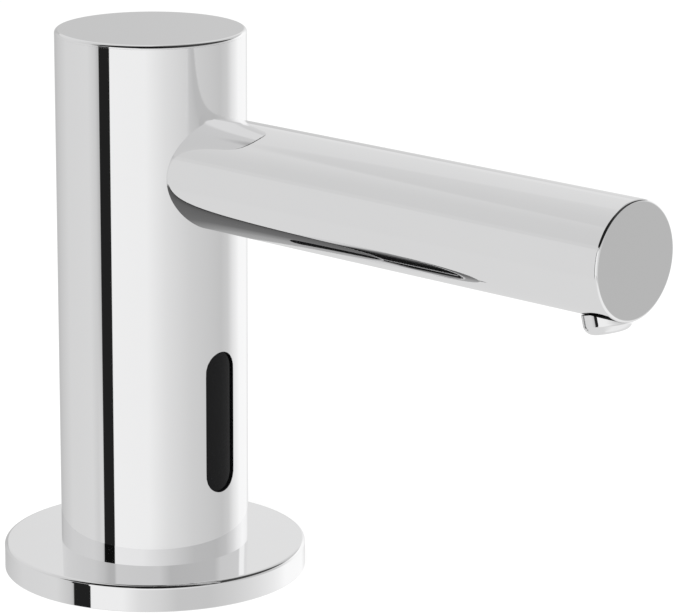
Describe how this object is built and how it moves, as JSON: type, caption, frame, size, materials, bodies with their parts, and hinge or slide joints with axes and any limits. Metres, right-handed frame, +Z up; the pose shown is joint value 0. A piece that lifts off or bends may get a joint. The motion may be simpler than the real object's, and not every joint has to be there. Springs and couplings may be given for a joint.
{
  "type": "automatic soap dispenser",
  "caption": "Deck-mounted automatic soap dispenser: chrome column with an infrared window, long round spout and leaning nozzle, gear pump inside, shank and lock nut below.",
  "frame": {"origin": "centre of the flange's underside, on the deck", "axes": "+Z up along the column, the spout and the window face -Y, symmetric outside about X = 0"},
  "size_m": [0.077, 0.1915, 0.207],
  "materials": {
    "column_chrome": "mirror polished chrome plate",
    "cap_chrome": "mirror polished chrome plate",
    "flange_chrome": "mirror polished chrome plate",
    "spout_chrome": "mirror polished chrome plate",
    "nozzle_chrome": "mirror polished chrome plate",
    "brass": "machined brass",
    "shank_brass": "threaded brass",
    "nut_brass": "forged brass",
    "bronze": "sintered bronze",
    "white_plastic": "moulded acetal",
    "grey_plastic": "glass-filled nylon",
    "black_plastic": "moulded",
    "gear_plastic": "machined acetal",
    "poppet_plastic": "moulded",
    "window_black": "polished infrared-pass acrylic",
    "silicone": "silicone",
    "black_rubber": "moulded",
    "clamp_rubber": "moulded",
    "stainless": "machined",
    "washer_steel": "stamped",
    "motor_steel": "drawn and plated",
    "rotor_steel": "laminated",
    "ferrite": "ground ferrite",
    "circuit_board": "solder mask",
    "emitter_clear": "clear epoxy",
    "receiver_dark": "dark epoxy",
    "soap_tube": "translucent tubing",
    "lead_black": "jacket",
    "lead_red": "jacket",
    "connector_metal": "nickel plated"
  },
  "bodies": {
    "root": {"column_tube": "column_chrome", "top_cap": "cap_chrome", "flange": "flange_chrome", "spout_tube": "spout_chrome", "nozzle": "nozzle_chrome", "base_insert": "brass", "spout_stub": "brass", "saddle_washer": "brass", "spout_nut": "brass", "outlet_block": "white_plastic", "duckbill_valve": "silicone", "nozzle_o_ring": "black_rubber", "base_o_ring": "black_rubber", "cap_o_ring": "black_rubber", "deck_seal": "black_rubber", "grub_screws": "stainless", "sensor_window": "window_black", "window_gasket": "black_rubber", "sensor_housing": "black_plastic", "sensor_board": "circuit_board", "ir_emitter": "emitter_clear", "ir_receiver": "receiver_dark", "sensor_screws": "stainless", "chassis": "grey_plastic", "chassis_screws": "stainless", "motor_can": "motor_steel", "motor_end_bell": "black_plastic", "motor_bushes": "bronze", "motor_magnets": "ferrite", "motor_screws": "stainless", "idler_pin": "stainless", "shaft_seal": "black_rubber", "pump_body": "white_plastic", "pump_cover": "white_plastic", "pump_seal": "black_rubber", "pump_screws": "stainless", "inlet_fitting": "brass", "valve_body": "white_plastic", "valve_spring": "stainless", "outlet_tube": "soap_tube", "inlet_tube": "soap_tube", "sensor_lead": "lead_black", "motor_lead": "lead_red", "shank": "shank_brass", "shank_plug": "black_plastic", "cable_connector": "connector_metal"},
    "pump_drive": {"motor_rotor": "rotor_steel", "drive_gear": "gear_plastic"},
    "pump_idler": {"idler_gear": "gear_plastic"},
    "valve_poppet": {"valve_poppet": "poppet_plastic"},
    "deck_clamp": {"deck_gasket": "clamp_rubber", "deck_washer": "washer_steel"},
    "lock_nut": {"lock_nut": "nut_brass"}
  },
  "joints": [
    {"name": "pump_spin", "type": "hinge", "parent": "root", "child": "pump_drive", "pos_m": [-0.0063, 0.004, 0.075], "axis": [0, 0, 1], "continuous": true},
    {"name": "idler_spin", "type": "hinge", "parent": "root", "child": "pump_idler", "pos_m": [0.0063, 0.004, 0.075], "axis": [0, 0, 1], "continuous": true},
    {"name": "valve_lift", "type": "slide", "parent": "root", "child": "valve_poppet", "axis": [0, 0, 1], "range_m": [0, 0.0015], "stiffness_N_per_m": 60, "springref_m": -0.001, "deforming": ["valve_spring"]},
    {"name": "nut_turn", "type": "hinge", "parent": "deck_clamp", "child": "lock_nut", "pos_m": [0, 0, -0.03], "axis": [0, 0, 1], "range_deg": [-1441, 1441]},
    {"name": "clamp_slide", "type": "slide", "parent": "root", "child": "deck_clamp", "axis": [0, 0, 1], "range_m": [-0.008, 0.008]}
  ],
  "couplings": [
    {"joint": "idler_spin", "follows": "pump_spin", "ratio": -1},
    {"joint": "nut_turn", "follows": "clamp_slide", "rad_per_m": 3141.6}
  ]
}
